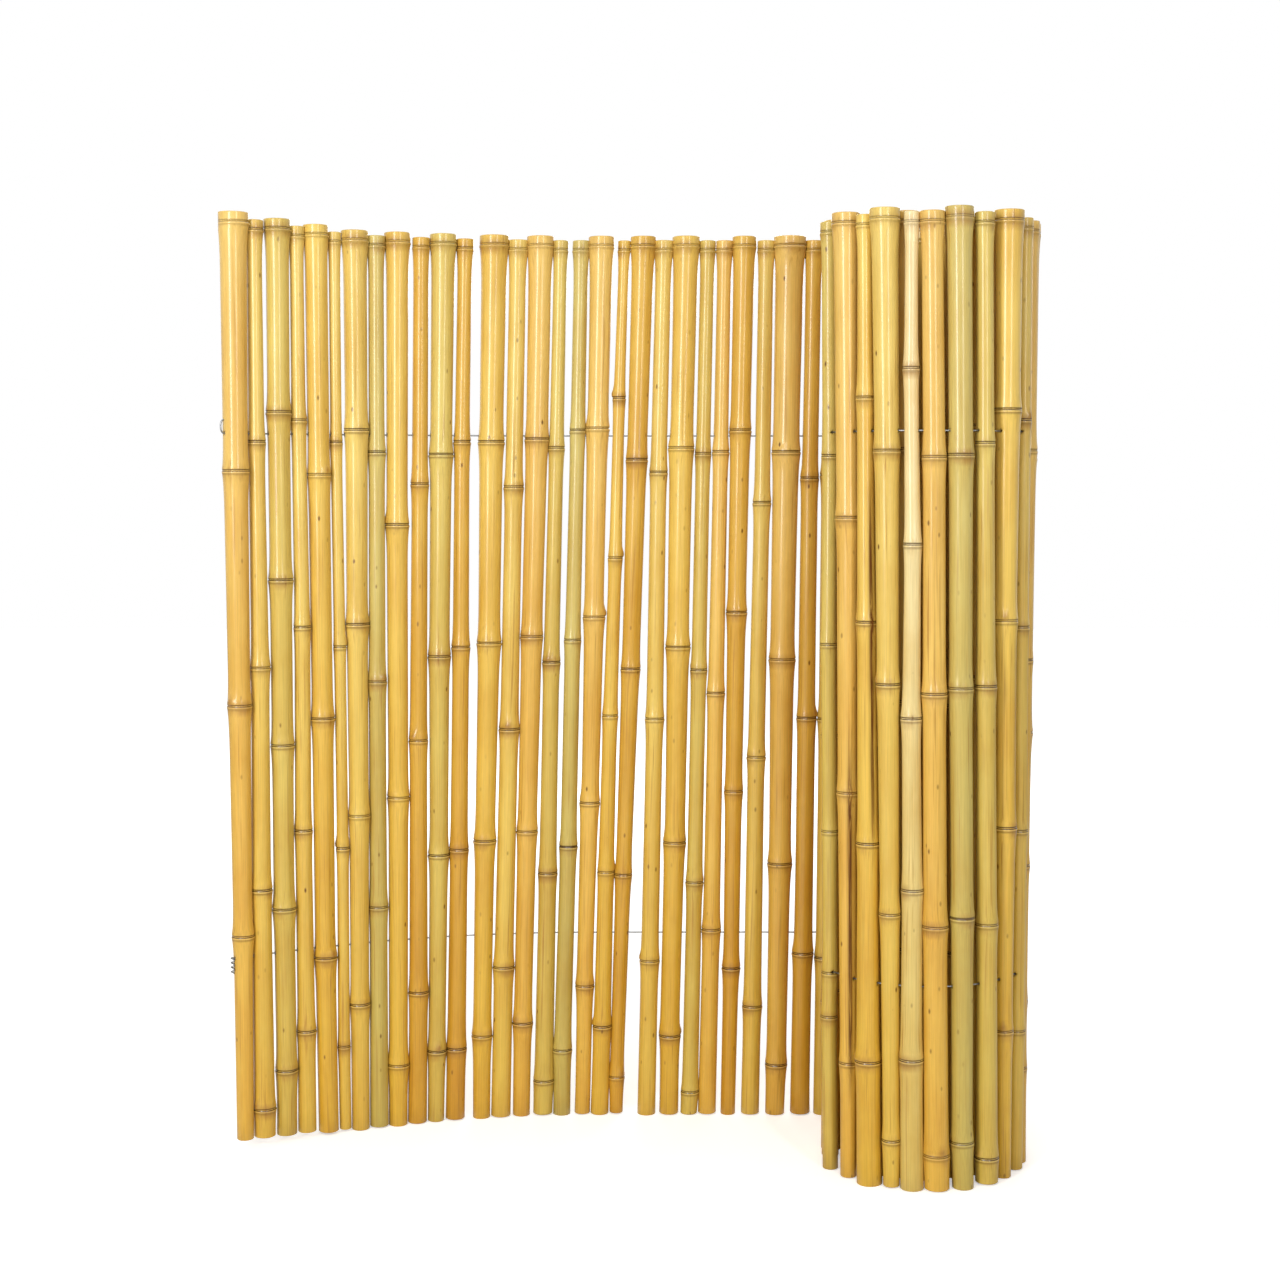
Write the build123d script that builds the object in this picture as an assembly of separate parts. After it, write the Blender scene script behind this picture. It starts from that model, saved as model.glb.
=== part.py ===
from build123d import *
import os
from math import cos, radians, sin, sqrt, tau
from typing import NamedTuple

# A rolled bamboo fence, in millimetres. Bamboo culms are threaded on two wires. The fence stands
# part unrolled: a curved panel to the left, then a spiral roll to the right. +X is to the right,
# +Y is away from the viewer and +Z is up. The origin is under the middle of the whole fence.

# Overall sizes
FENCE_LENGTH = 1829.0       # along the wires, unrolled
HEIGHT = 914.0              # longest culm, foot to top
FREE_END_RISE = 10.0        # the first culm stands this much higher on the wires
RISEN_CULMS = 6             # culms over which that rise dies away
THIN_TOP_DROP = 4.0         # a culm that stands thin end up is cut this much shorter
FOOT_STEP = 0.5             # saw cuts at the feet differ by up to three of these

# Plan of the fence: an arc, a straight run and a spiral
BEND_RADIUS = 600.0         # curve of the free end of the panel
BEND_ANGLE = 36.5           # degrees turned by that curve
STRAIGHT_RUN = 315.0        # from the curve to where the roll begins
SLACK_RUN = 20.0            # straight run at the roll's right side, where its outer turn is slack
CORE_RADIUS = 48.0          # roll centre to the wire, at the roll's inner end
TURN_CLEARANCE = 2.0        # between the thickest culms of two turns of the roll
INNER_TUCK = 11.0           # the roll's left side is pressed this far in behind its front

# Bamboo joints
JOINT_FLARE = 1.2           # how far a culm swells in radius up to each joint
JOINT_STEP = 5.0            # height over which it narrows again above the joint
TOP_JOINT_DEPTH = 9.0       # joint that the saw left just under the top end
TOP_FLARE = 1.4             # swelling at that joint
TOP_RIM = 0.6               # swelling left at the top end itself
LOWEST_JOINT = 18.0         # no joint is closer than this to the foot
THICK_SIDES = 8             # facets round a thick culm
THIN_SIDES = 6              # facets round a thin culm
THIN_LIMIT = 20.9           # mean diameter that counts as thin

# Wires and their drilled holes
WIRE_HEIGHTS = {"upper_wire": 712.0, "lower_wire": 194.0}
WIRE_SIZE = 1.6             # across the galvanised wire
WIRE_CLEARANCE = 0.4        # round the wire in its hole
WIRE_TAIL = 5.0             # wire that sticks out past the end culms
WIRE_HOOK = 14.0            # end that is bent up along the first culm
CULM_CLEARANCE = 0.4        # least room between two culms on the wire
HOLE_SIZE = WIRE_SIZE + 2 * WIRE_CLEARANCE


class Culm(NamedTuple):
    """One bamboo pole of the cut list."""

    top: float          # diameter at the top end
    foot: float         # diameter at the foot
    first: float        # from the top end down to the first full joint
    spacing: float      # from joint to joint
    lean: float         # how far the top stands further along the fence than the foot
    gap: float          # room left before the next culm


# Cut list of the unrolled panel, from its free end
PANEL = [
    Culm(25.7, 16.2, 248, 230, 2, 1.5),
    Culm(14.2, 21.2, 214, 222, 3, 4.0),
    Culm(22.2, 20.2, 187, 165, 3, 1.0),
    Culm(13.2, 18.7, 189, 205, 1, 2.0),
    Culm(22.7, 20.7, 245, 244, -2, 0.0),
    Culm(11.2, 12.2, 207, 205, -1, 0.0),
    Culm(23.7, 18.2, 197, 195, 4, 0.0),
    Culm(15.2, 19.2, 215, 232, 6, 1.5),
    Culm(22.2, 19.2, 292, 279, 8, 2.0),
    Culm(15.2, 20.2, 247, 262, 12, 0.5),
    Culm(24.2, 17.4, 221, 206, 15, 1.0),
    Culm(14.2, 20.2, 204, 210, 17, 8.5),
    Culm(26.2, 18.2, 208, 206, 19, 0.0),
    Culm(17.2, 20.7, 250, 250, 23, 0.0),
    Culm(24.2, 18.2, 205, 203, 24, 0.0),
    Culm(13.2, 20.2, 210, 221, 22, 2.0),
    Culm(14.2, 18.2, 192, 216, 23, 2.5),
    Culm(23.2, 16.2, 194, 194, 22, 3.0),
    Culm(10.2, 19.2, 159, 164, 27, 2.0),
    Culm(22.2, 13.7, 226, 216, 29, 7.5),
    Culm(16.2, 19.2, 235, 255, 18, 2.5),
    Culm(25.2, 20.2, 214, 205, 17, 1.5),
    Culm(14.2, 17.2, 216, 223, 18, 2.0),
    Culm(14.2, 19.2, 219, 249, 16, 3.0),
    Culm(22.2, 15.7, 196, 187, 14, 5.0),
    Culm(15.2, 19.2, 266, 264, 13, 2.5),
    Culm(29.2, 20.2, 218, 214, 11, 2.0),
    Culm(16.2, 21.2, 241, 248, 9, 4.0),
]

# Cut list of the front of the roll, from its right edge to its left edge
ROLL_FRONT = [
    Culm(13.2, 16.2, 215, 200, 6, 9.0),
    Culm(12.2, 16.2, 187, 195, 8, 12.0),
    Culm(24.7, 15.2, 182, 196, 12, 8.0),
    Culm(15.2, 21.2, 209, 225, 18, 5.5),
    Culm(22.7, 20.2, 224, 215, 16, 3.0),
    Culm(19.2, 23.2, 222, 218, 15, 1.0),
    Culm(11.2, 22.2, 141, 161, 10, 3.5),
    Culm(25.2, 15.7, 220, 216, 16, 0.5),
    Culm(13.2, 24.7, 167, 208, 15, 6.0),
    Culm(23.2, 15.2, 282, 260, 15, 16.0),
    Culm(14.2, 15.2, 220, 180, 24, 6.0),
]

# Hidden culms, repeated in turn at the back of the roll and in its inner turns
HIDDEN = [
    Culm(22.0, 17.0, 242, 252, 8, 6.5),
    Culm(15.0, 20.0, 236, 262, 8, 6.5),
    Culm(21.0, 16.0, 268, 248, 8, 6.5),
    Culm(16.0, 19.0, 222, 266, 8, 6.5),
]
BACK_COUNT = 12             # hidden culms between the panel and the front of the roll
OUTER_COUNT = 28            # culms of the roll's outer turn, each a piece of its own
FRONT_END = len(PANEL) + BACK_COUNT + len(ROLL_FRONT)

# The roll is as large as the rest of the fence makes it, wound out from its core
THICKEST = max(max(culm.top, culm.foot) for culm in ROLL_FRONT + HIDDEN)
TURN_SPACING = THICKEST + JOINT_FLARE + TURN_CLEARANCE
BEND_LENGTH = BEND_RADIUS * radians(BEND_ANGLE)
ROLLED_LENGTH = FENCE_LENGTH - BEND_LENGTH - STRAIGHT_RUN - SLACK_RUN
TURN_SHRINK = TURN_SPACING / tau
ROLL_RADIUS = sqrt(CORE_RADIUS**2 + 2 * TURN_SHRINK * ROLLED_LENGTH)
QUARTER_LENGTH = (ROLL_RADIUS - TURN_SHRINK * tau / 8) * tau / 4


class Ring(NamedTuple):
    """One level of a culm: its height, radius and shift along the fence."""

    height: float
    radius: float
    shift: float


def shift_at(culm, height):
    """How far a leaning culm stands along the fence at a height."""
    return culm.lean * (height / HEIGHT - 0.5)


def body_radius(culm, height):
    """Radius of the tapered culm just above a joint, where it is narrowest."""
    return (culm.foot + (culm.top - culm.foot) * height / HEIGHT - JOINT_FLARE) / 2


def culm_rings(culm, index):
    """Levels of a culm from its foot to its top, with a swelling at every joint.

    The culms of the inner turns, which are out of sight, have their top joint alone.
    """
    rise = FREE_END_RISE * max(1 - index / RISEN_CULMS, 0)
    foot = rise + FOOT_STEP * (2 * index % 4 + index // 2 % 2)
    top = rise + HEIGHT - (THIN_TOP_DROP if culm.top < culm.foot else 0.0)
    swellings = [(foot, 0.0)]
    joints = []
    joint = top - culm.first
    while joint > LOWEST_JOINT and index < len(PANEL) + OUTER_COUNT:
        joints.append(joint)
        joint -= culm.spacing
    for joint in reversed(joints):
        swellings.append((joint, JOINT_FLARE))
        swellings.append((joint + JOINT_STEP, 0.0))
    swellings.append((top - TOP_JOINT_DEPTH, TOP_FLARE))
    swellings.append((top, TOP_RIM))
    return [Ring(z, body_radius(culm, z) + extra, shift_at(culm, z)) for z, extra in swellings]


def ring_at(rings, height):
    """Radius and shift of a culm at any height, in line between its levels."""
    for low, high in zip(rings, rings[1:]):
        if low.height <= height <= high.height:
            share = (height - low.height) / (high.height - low.height)
            radius = low.radius + (high.radius - low.radius) * share
            return Ring(height, radius, low.shift + (high.shift - low.shift) * share)
    return rings[0] if height < rings[0].height else rings[-1]


def pitch(first, second, gap):
    """Distance along the wire between two neighbours, so that they touch nowhere."""
    middle = ring_at(first, HEIGHT / 2).radius + ring_at(second, HEIGHT / 2).radius + gap
    touching = 0.0
    for height in [ring.height for ring in first + second]:
        one = ring_at(first, height)
        two = ring_at(second, height)
        touching = max(touching, one.radius + two.radius + one.shift - two.shift)
    return max(middle, touching + CULM_CLEARANCE)


def spiral(rolled):
    """Point and heading on the roll's spiral, at a length from where the roll begins."""
    radius = sqrt(ROLL_RADIUS**2 - 2 * TURN_SHRINK * rolled)
    turn = (ROLL_RADIUS - radius) / TURN_SHRINK
    inwards = Vector(-sin(turn), -cos(turn)) * TURN_SHRINK
    heading = Vector(cos(turn), -sin(turn)) * radius + inwards
    return Vector(radius * sin(turn), radius * cos(turn) - ROLL_RADIUS), heading.normalized()


def plan(distance):
    """Point and heading of the wire at a distance from the fence's free end.

    The roll begins at the local origin. It turns a quarter, runs straight where it is slack
    and then winds on to its core.
    """
    if distance < BEND_LENGTH:
        turn = (BEND_LENGTH - distance) / BEND_RADIUS
        point = Vector(-STRAIGHT_RUN - BEND_RADIUS * sin(turn), BEND_RADIUS * (cos(turn) - 1))
        return point, Vector(cos(turn), sin(turn))
    rolled = distance - BEND_LENGTH - STRAIGHT_RUN
    if rolled < 0:
        return Vector(rolled, 0), Vector(1, 0)
    slack = min(max(rolled - QUARTER_LENGTH, 0), SLACK_RUN)
    point, heading = spiral(rolled - slack)
    return point + spiral(QUARTER_LENGTH)[1] * slack, heading


class Pole(NamedTuple):
    """A culm in its place: its levels, plan point, heading and number of facets."""

    rings: list
    point: Vector
    heading: Vector
    sides: int

    def centre(self, height):
        """Middle of the culm at a height."""
        ring = ring_at(self.rings, height)
        return self.point + self.heading * ring.shift + Vector(0, 0, height)

    def mouth(self, height, way):
        """Where the wire goes in (way -1) or comes out (way 1) at a height."""
        return self.centre(height) + self.heading * (way * ring_at(self.rings, height).radius)


def cut_list():
    """Culms in their order on the wires, with hidden ones to the end."""
    yield from PANEL
    for index in range(BACK_COUNT):
        yield HIDDEN[index % len(HIDDEN)]
    yield from ROLL_FRONT
    index = 0
    while True:
        yield HIDDEN[index % len(HIDDEN)]
        index += 1


def thread_culms():
    """Place culms along the wires until the length of the fence is used up."""
    poles = []
    distance = 0.0
    last = None
    for index, culm in enumerate(cut_list()):
        rings = culm_rings(culm, index)
        if last is None:
            distance = ring_at(rings, HEIGHT / 2).radius
        else:
            distance += pitch(poles[-1].rings, rings, last.gap)
        if distance > FENCE_LENGTH:
            return poles
        point, heading = plan(distance)
        if index >= FRONT_END:
            point += Vector(INNER_TUCK * max(-point.X / ROLL_RADIUS, 0), 0)
        thin = culm.top + culm.foot < 2 * THIN_LIMIT
        poles.append(Pole(rings, point, heading, THIN_SIDES if thin else THICK_SIDES))
        last = culm


def corner_radius(radius, sides):
    """Corner radius of the polygon that has the area of the round culm."""
    return radius * sqrt(tau / (sides * sin(tau / sides)))


def wire_route(poles, height):
    """Plan points of a wire: past the first culm, midway between culms, past the last."""
    route = [poles[0].mouth(height, -1) - poles[0].heading * WIRE_TAIL]
    for one, two in zip(poles, poles[1:]):
        route.append((one.mouth(height, 1) + two.mouth(height, -1)) * 0.5)
    route.append(poles[-1].mouth(height, 1) + poles[-1].heading * WIRE_TAIL)
    return route


def shift_to_origin(poles):
    """Move the plan so that the fence's box is centred on the origin."""
    corners = []
    for pole in poles:
        for ring in pole.rings:
            corners.extend(ring_corners(pole, ring))
    for height in WIRE_HEIGHTS.values():
        corners.extend(ribbon(wire_route(poles, height)))
    across = [corner.X for corner in corners]
    along = [corner.Y for corner in corners]
    middle = Vector((min(across) + max(across)) / 2, (min(along) + max(along)) / 2)
    return [pole._replace(point=pole.point - middle) for pole in poles]


def ribbon(route):
    """Outline of a wire seen from above, half a wire to each side of its route."""
    left = []
    right = []
    for index, point in enumerate(route):
        before = route[max(index - 1, 0)]
        after = route[min(index + 1, len(route) - 1)]
        way = (after - before).normalized()
        side = Vector(-way.Y, way.X) * (WIRE_SIZE / 2)
        left.append(point + side)
        right.append(point - side)
    return left + right[::-1]


def make_wire(poles, height):
    """A wire along its route, with its free end bent up in front of the first culm."""
    route = wire_route(poles, height)
    outline = [Vector(point.X, point.Y, height - WIRE_SIZE / 2) for point in ribbon(route)]
    wire = extrude(make_face(Polyline(*outline, close=True)), WIRE_SIZE, dir=(0, 0, 1))
    end = Plane(route[0], x_dir=poles[0].heading, z_dir=(0, 0, 1))
    hook = Box(WIRE_SIZE, WIRE_SIZE, WIRE_HOOK, align=(Align.MIN, Align.CENTER, Align.MIN))
    return wire + end * Pos(0, 0, -WIRE_SIZE / 2) * hook


def ring_corners(pole, ring):
    """Corners of a culm at one of its levels, with flat sides towards its neighbours."""
    reach = corner_radius(ring.radius, pole.sides)
    side = Vector(-pole.heading.Y, pole.heading.X)
    corners = []
    for corner in range(pole.sides):
        turn = (corner + 0.5) * tau / pole.sides
        way = pole.heading * cos(turn) + side * sin(turn)
        corners.append(pole.centre(ring.height) + way * reach)
    return corners


def make_culm(pole, drillings):
    """A faceted culm through all its levels, drilled along the wires."""
    levels = [ring_corners(pole, ring) for ring in pole.rings]
    facets = [Face(Wire.make_polygon(levels[0][::-1])), Face(Wire.make_polygon(levels[-1]))]
    for low, high in zip(levels, levels[1:]):
        for one in range(pole.sides):
            two = (one + 1) % pole.sides
            facets.append(Face(Wire.make_polygon([low[one], low[two], high[two], high[one]])))
    culm = Solid(Shell(facets))
    for start, end in drillings:
        bore = Plane((start + end) * 0.5, x_dir=end - start, z_dir=(0, 0, 1))
        culm -= bore * Box((end - start).length, HOLE_SIZE, HOLE_SIZE)
    return culm


def main():
    """Build every culm and both wires and write each node's file."""
    os.makedirs("parts", exist_ok=True)
    poles = shift_to_origin(thread_culms())
    routes = {name: wire_route(poles, height) for name, height in WIRE_HEIGHTS.items()}
    inner = []
    for index, pole in enumerate(poles):
        drillings = [(route[index], route[index + 1]) for route in routes.values()]
        culm = make_culm(pole, drillings)
        if index < len(PANEL):
            export_step(culm, f"parts/panel_pole_{index + 1:02d}.step")
        elif index < len(PANEL) + OUTER_COUNT:
            export_step(culm, f"parts/roll_pole_{index + 1 - len(PANEL):02d}.step")
        else:
            inner.append(culm)
    export_step(Compound(children=inner), "parts/inner_roll_poles.step")
    for name, height in WIRE_HEIGHTS.items():
        export_step(make_wire(poles, height), f"parts/{name}.step")


main()
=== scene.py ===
"""Dresses a part-rolled bamboo fence: round culms with swollen joints on two galvanised wires."""

import logging
import math
import random
from dataclasses import dataclass, field
from enum import Enum
from typing import Optional

import bpy
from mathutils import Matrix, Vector


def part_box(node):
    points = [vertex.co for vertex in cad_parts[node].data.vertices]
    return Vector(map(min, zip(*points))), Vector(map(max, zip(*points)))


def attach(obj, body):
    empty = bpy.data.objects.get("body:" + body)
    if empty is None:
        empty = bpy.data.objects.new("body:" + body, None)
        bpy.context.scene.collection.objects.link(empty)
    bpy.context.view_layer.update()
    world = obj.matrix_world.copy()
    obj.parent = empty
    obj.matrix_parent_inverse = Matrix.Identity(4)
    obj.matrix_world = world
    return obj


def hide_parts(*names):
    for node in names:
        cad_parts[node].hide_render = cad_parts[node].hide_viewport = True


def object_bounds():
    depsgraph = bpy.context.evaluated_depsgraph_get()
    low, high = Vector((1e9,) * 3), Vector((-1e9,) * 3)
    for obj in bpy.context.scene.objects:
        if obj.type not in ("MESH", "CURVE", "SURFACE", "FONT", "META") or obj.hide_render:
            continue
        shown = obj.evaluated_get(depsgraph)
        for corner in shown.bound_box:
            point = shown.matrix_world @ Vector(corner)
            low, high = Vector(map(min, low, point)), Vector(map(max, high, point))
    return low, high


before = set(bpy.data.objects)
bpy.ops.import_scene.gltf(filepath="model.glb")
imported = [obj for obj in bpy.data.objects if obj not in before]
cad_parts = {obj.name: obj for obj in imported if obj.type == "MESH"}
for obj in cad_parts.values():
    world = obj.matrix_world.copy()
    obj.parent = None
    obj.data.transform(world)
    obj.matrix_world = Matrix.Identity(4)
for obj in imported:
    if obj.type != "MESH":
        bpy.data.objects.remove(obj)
CAD_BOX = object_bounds()

LOG = logging.getLogger("bamboo_fence")
MM = 0.001
PHOTO_PIXELS = 1280
BODY = "root"
SEED = 41
SAME_CORNER = 0.01 * MM
SAME_RING = 0.02 * MM


def linear(hex_colour: str) -> tuple[float, float, float, float]:
    """Turn an sRGB hex colour to linear RGBA.

    Args:
        hex_colour: Six hex digits, with or without a leading hash.

    Returns:
        Linear red, green, blue and an alpha of 1.
    """
    digits = hex_colour.lstrip("#")
    channels = [int(digits[start:start + 2], 16) / 255 for start in (0, 2, 4)]
    red, green, blue = [value / 12.92 if value <= 0.04045 else ((value + 0.055) / 1.055) ** 2.4
                        for value in channels]
    return red, green, blue, 1.0


def smooth_step(low: float, high: float, value: float) -> float:
    """Ease from 0 at low to 1 at high.

    Args:
        low: Where the ease begins.
        high: Where the ease ends.
        value: Where it is read.

    Returns:
        A share from 0 to 1.
    """
    share = min(max((value - low) / (high - low), 0.0), 1.0)
    return share * share * (3 - 2 * share)


def add_node(tree: bpy.types.NodeTree, kind: str, settings: Optional[dict] = None,
             links: Optional[dict] = None) -> bpy.types.Node:
    """Add a shader node with its settings and incoming links.

    Args:
        tree: Node tree that gets the node.
        kind: Node type, such as ShaderNodeTexNoise.
        settings: Attribute names, or input names and numbers, to their values.
        links: Input names or numbers to the sockets that feed them.

    Returns:
        The new node.
    """
    node = tree.nodes.new(kind)
    for name, value in (settings or {}).items():
        if isinstance(name, str) and hasattr(node, name):
            setattr(node, name, value)
        else:
            node.inputs[name].default_value = value
    for name, socket in (links or {}).items():
        tree.links.new(socket, node.inputs[name])
    return node


def set_ramp(node: bpy.types.Node, stops: list[tuple[float, tuple[float, float, float, float]]]) -> None:
    """Give a colour ramp its stops.

    Args:
        node: The ramp node.
        stops: Places from 0 to 1, in order, with linear colours.
    """
    elements = node.color_ramp.elements
    while len(elements) < len(stops):
        elements.new(1.0)
    for element, (place, colour) in zip(elements, stops):
        element.position = place
        element.color = colour


class Tone(Enum):
    """Skin colours that culms in one fence differ by, at the top and at the foot; the paler tops are partly
    the skin's own colour and partly painted light where the upper culm catches more light.
    """

    GOLD = ("E7C462", "DBB03C")
    STRAW = ("E6C96E", "DCB74B")
    PEACH = ("E8C26A", "DEB045")
    OLIVE = ("DCC46B", "CFB14F")
    GREEN = ("D3C071", "C3AC55")
    PALE = ("F1DFAC", "DBC16A")
    OCHRE = ("DEB551", "CF9D30")


@dataclass(frozen=True)
class BambooSkin:
    """Sun-dried bamboo, skin left on: a glossy silica skin over straight fibres.

    The eye sees a straw ground with fine upright streaks, soft mottling, a dark scar line and
    a pale ridge at each joint, rare dark specks and long white highlights.
    """

    patch: str = "E0C27A"
    scar: str = "301402"
    lip: str = "5A3210"
    ridge: str = "E6CC8C"
    streak: str = "A06C24"
    # Brown of real smudging and bud scars, also used for the shade painted around each joint's swelling.
    smudge_and_shade: str = "9A6A2C"
    speck: str = "6B4416"
    # Near-black painted shade for the mouths of the drilled wire holes.
    pit_shade: str = "1C1008"
    stain: str = "5E350F"
    fibre_mm: float = 0.9
    fibre_length_mm: float = 70.0
    mottle_mm: float = 38.0
    mottle_length_mm: float = 110.0
    streak_mm: float = 2.6
    streak_length_mm: float = 150.0
    speck_spacing_mm: float = 10.0
    speck_stretch: float = 2.2
    speck_mm: float = 1.5
    roughness: float = 0.40
    smoother: float = 0.07
    rougher: float = 0.12
    specular: float = 0.2
    coat: float = 0.62
    coat_roughness: float = 0.19
    relief: float = 0.12
    relief_mm: float = 0.12
    joint_reach_mm: float = 12.0

    def material(self) -> bpy.types.Material:
        """Build the shader.

        Returns:
            The bamboo skin material.
        """
        made = bpy.data.materials.new("bamboo_skin")
        made.use_nodes = True
        tree = made.node_tree
        shader = tree.nodes["Principled BSDF"]
        place = add_node(tree, "ShaderNodeAttribute", {"attribute_name": "culm_mm"}).outputs["Vector"]
        tone = add_node(tree, "ShaderNodeAttribute", {"attribute_name": "tone"}).outputs["Color"]
        joint = add_node(tree, "ShaderNodeAttribute", {"attribute_name": "joint_mm"}).outputs["Vector"]
        marks_and_shade = add_node(tree, "ShaderNodeAttribute", {"attribute_name": "marks_and_shade"}).outputs["Color"]
        marked_and_shaded = add_node(tree, "ShaderNodeSeparateColor", links={"Color": marks_and_shade})

        fibre = self._stretched_noise(tree, place, self.fibre_mm, self.fibre_length_mm, 3.0)
        mottle = self._stretched_noise(tree, place, self.mottle_mm, self.mottle_length_mm, 4.0)
        streak = self._stretched_noise(tree, place, self.streak_mm, self.streak_length_mm, 2.0)

        ground = self._mottled(tree, tone, fibre, mottle, streak)
        jointed = self._jointed(tree, ground, joint, mottle)
        specked = self._specked(tree, jointed, place)
        colour = self._marked_and_shaded(tree, specked, marked_and_shaded, fibre)
        tree.links.new(colour, shader.inputs["Base Color"])

        gloss = add_node(tree, "ShaderNodeMapRange", {"To Min": self.roughness - self.smoother,
                                                      "To Max": self.roughness + self.rougher},
                         {"Value": mottle})
        tree.links.new(gloss.outputs["Result"], shader.inputs["Roughness"])
        relief = add_node(tree, "ShaderNodeBump", {"Strength": self.relief, "Distance": self.relief_mm * MM},
                          {"Height": fibre})
        tree.links.new(relief.outputs["Normal"], shader.inputs["Normal"])
        shader.inputs["IOR"].default_value = 1.5
        shader.inputs["Specular IOR Level"].default_value = self.specular
        skinned = add_node(tree, "ShaderNodeMapRange", {"To Min": self.coat, "To Max": 0.0},
                           {"Value": marked_and_shaded.outputs["Green"]})
        tree.links.new(skinned.outputs["Result"], shader.inputs["Coat Weight"])
        shader.inputs["Coat Roughness"].default_value = self.coat_roughness
        return made

    @staticmethod
    def _stretched_noise(tree: bpy.types.NodeTree, place: bpy.types.NodeSocket, across_mm: float,
                         along_mm: float, detail: float) -> bpy.types.NodeSocket:
        """Noise drawn out along the culm.

        Args:
            tree: Node tree that gets the nodes.
            place: Millimetres in the culm's own frame.
            across_mm: Size of the pattern round the culm.
            along_mm: Size of the pattern along the culm.
            detail: Octaves of the noise.

        Returns:
            The noise value.
        """
        scale = (1 / across_mm, 1 / across_mm, 1 / along_mm)
        mapped = add_node(tree, "ShaderNodeMapping", {"Scale": scale}, {"Vector": place})
        noise = add_node(tree, "ShaderNodeTexNoise", {"Scale": 1.0, "Detail": detail, "Roughness": 0.6},
                         {"Vector": mapped.outputs["Vector"]})
        return noise.outputs["Fac"]

    def _mottled(self, tree: bpy.types.NodeTree, tone: bpy.types.NodeSocket, fibre: bpy.types.NodeSocket,
                 mottle: bpy.types.NodeSocket, streak: bpy.types.NodeSocket) -> bpy.types.NodeSocket:
        """Lighten and darken the culm's tone along its fibres and in soft patches.

        Args:
            tree: Node tree that gets the nodes.
            tone: The culm's own colour.
            fibre: Fine upright streaks.
            mottle: Broad patches.
            streak: Long brown streaks.

        Returns:
            The mottled colour.
        """
        patch = add_node(tree, "ShaderNodeMapRange", {"From Min": 0.35, "From Max": 0.7, "To Max": 0.5},
                         {"Value": mottle})
        deep = add_node(tree, "ShaderNodeMix", {"data_type": "RGBA", "blend_type": "MULTIPLY",
                                                7: linear(self.patch)}, {0: patch.outputs["Result"], 6: tone})
        fine = add_node(tree, "ShaderNodeMapRange", {"From Min": 0.3, "From Max": 0.72,
                                                     "To Min": 0.86, "To Max": 1.06}, {"Value": fibre})
        grained = add_node(tree, "ShaderNodeMix", {"data_type": "RGBA", "blend_type": "MULTIPLY", 0: 1.0},
                           {6: deep.outputs[2], 7: fine.outputs["Result"]})
        long = add_node(tree, "ShaderNodeMapRange", {"From Min": 0.6, "From Max": 0.78, "To Max": 0.75},
                        {"Value": streak})
        return add_node(tree, "ShaderNodeMix", {"data_type": "RGBA", 7: linear(self.streak)},
                        {0: long.outputs["Result"], 6: grained.outputs[2]}).outputs[2]

    def _jointed(self, tree: bpy.types.NodeTree, ground: bpy.types.NodeSocket, joint: bpy.types.NodeSocket,
                 mottle: bpy.types.NodeSocket) -> bpy.types.NodeSocket:
        """Draw the scar line, the pale ridge under it and the brown band around each joint, which is partly
        real smudging and partly painted shade around the joint's swelling.

        Args:
            tree: Node tree that gets the nodes.
            ground: Colour so far.
            joint: Millimetres over the joint below and under the joint above, and the joint's strength.
            mottle: Broad patches, which break the brown band.

        Returns:
            The colour with its joints.
        """
        reach = self.joint_reach_mm
        parts = add_node(tree, "ShaderNodeSeparateXYZ", links={"Vector": joint})
        over, under, strength = parts.outputs["X"], parts.outputs["Y"], parts.outputs["Z"]
        below = add_node(tree, "ShaderNodeMath", {"operation": "MULTIPLY", 1: -1.0}, {0: under})
        nearer = add_node(tree, "ShaderNodeMath", {"operation": "LESS_THAN"}, {0: over, 1: under})
        signed = add_node(tree, "ShaderNodeMix",
                          links={0: nearer.outputs["Value"], 2: below.outputs["Value"], 3: over})
        along = add_node(tree, "ShaderNodeMapRange", {"From Min": -reach, "From Max": reach},
                         {"Value": signed.outputs[0]})

        def band(ground: bpy.types.NodeSocket, colour: str, breaker: bpy.types.NodeSocket,
                 stops: list[tuple[float, float]]) -> bpy.types.NodeSocket:
            """Lay a colour round the joint.

            Args:
                ground: Colour so far.
                colour: Colour of the band.
                breaker: Strength by which the band is broken up.
                stops: Millimetres from the joint, in order, with the band's strength there.

            Returns:
                The colour with the band.
            """
            ramp = add_node(tree, "ShaderNodeValToRGB", links={"Fac": along.outputs["Result"]})
            set_ramp(ramp, [((mm + reach) / (2 * reach), (value, value, value, 1.0)) for mm, value in stops])
            cover = add_node(tree, "ShaderNodeMath", {"operation": "MULTIPLY"},
                             {0: ramp.outputs["Color"], 1: breaker})
            return add_node(tree, "ShaderNodeMix", {"data_type": "RGBA", 7: linear(colour)},
                            {0: cover.outputs["Value"], 6: ground}).outputs[2]

        broken = add_node(tree, "ShaderNodeMapRange", {"From Min": 0.4, "From Max": 0.64}, {"Value": mottle})
        # Brown band round the joint: partly real smudging, partly painted shade around the joint's swelling.
        smudged_and_shaded = band(ground, self.smudge_and_shade, broken.outputs["Result"],
                       [(-11.5, 0.0), (-5.0, 0.7), (-3.4, 0.3), (0.8, 0.7), (7.0, 0.0)])
        ridged = band(smudged_and_shaded, self.ridge, strength, [(-2.8, 0.0), (-2.3, 0.25), (-1.7, 0.25), (-1.4, 0.0)])
        lipped = band(ridged, self.lip, strength, [(-5.4, 0.0), (-3.7, 0.5), (-2.9, 0.5), (-2.2, 0.0)])
        return band(lipped, self.scar, strength, [(-1.5, 0.0), (-0.9, 1.0), (0.8, 1.0), (1.9, 0.0)])

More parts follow.
